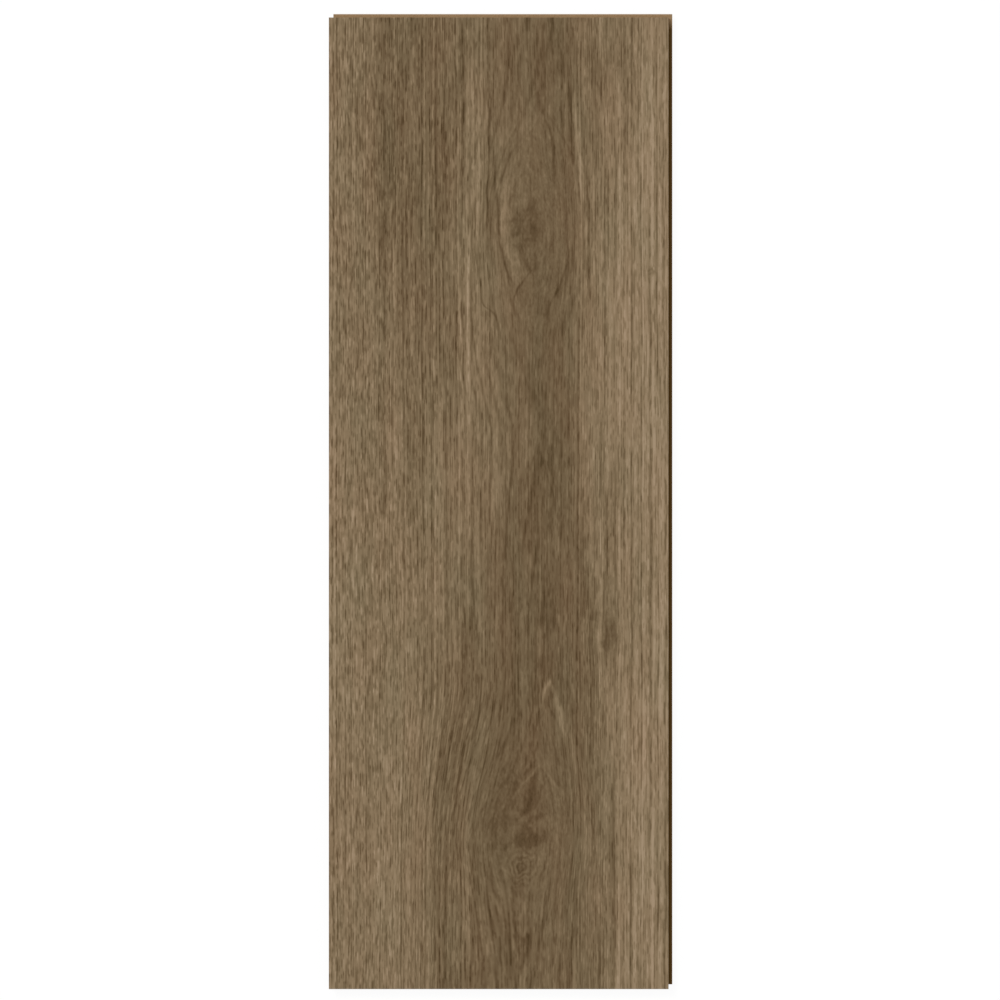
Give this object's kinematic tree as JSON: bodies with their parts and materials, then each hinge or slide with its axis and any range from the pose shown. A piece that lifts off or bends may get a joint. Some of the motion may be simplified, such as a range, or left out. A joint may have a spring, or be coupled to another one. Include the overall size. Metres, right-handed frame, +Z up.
{
  "type": "laminate floor plank",
  "caption": "Flat rectangular laminate floor plank with an oak wood-grain face and a locking tongue and groove milled along its edges, laid edge to edge to make a floor.",
  "frame": {"origin": "on the underside, below the middle of the face", "axes": "+X across the plank towards its long tongue edge, +Y along the plank towards its tongue end, +Z up out of the face"},
  "size_m": [0.1952, 0.5542, 0.008],
  "materials": {
    "oak_decor_laminate": "matte"
  },
  "bodies": {
    "root": {"floor_plank": "oak_decor_laminate"}
  },
  "joints": []
}
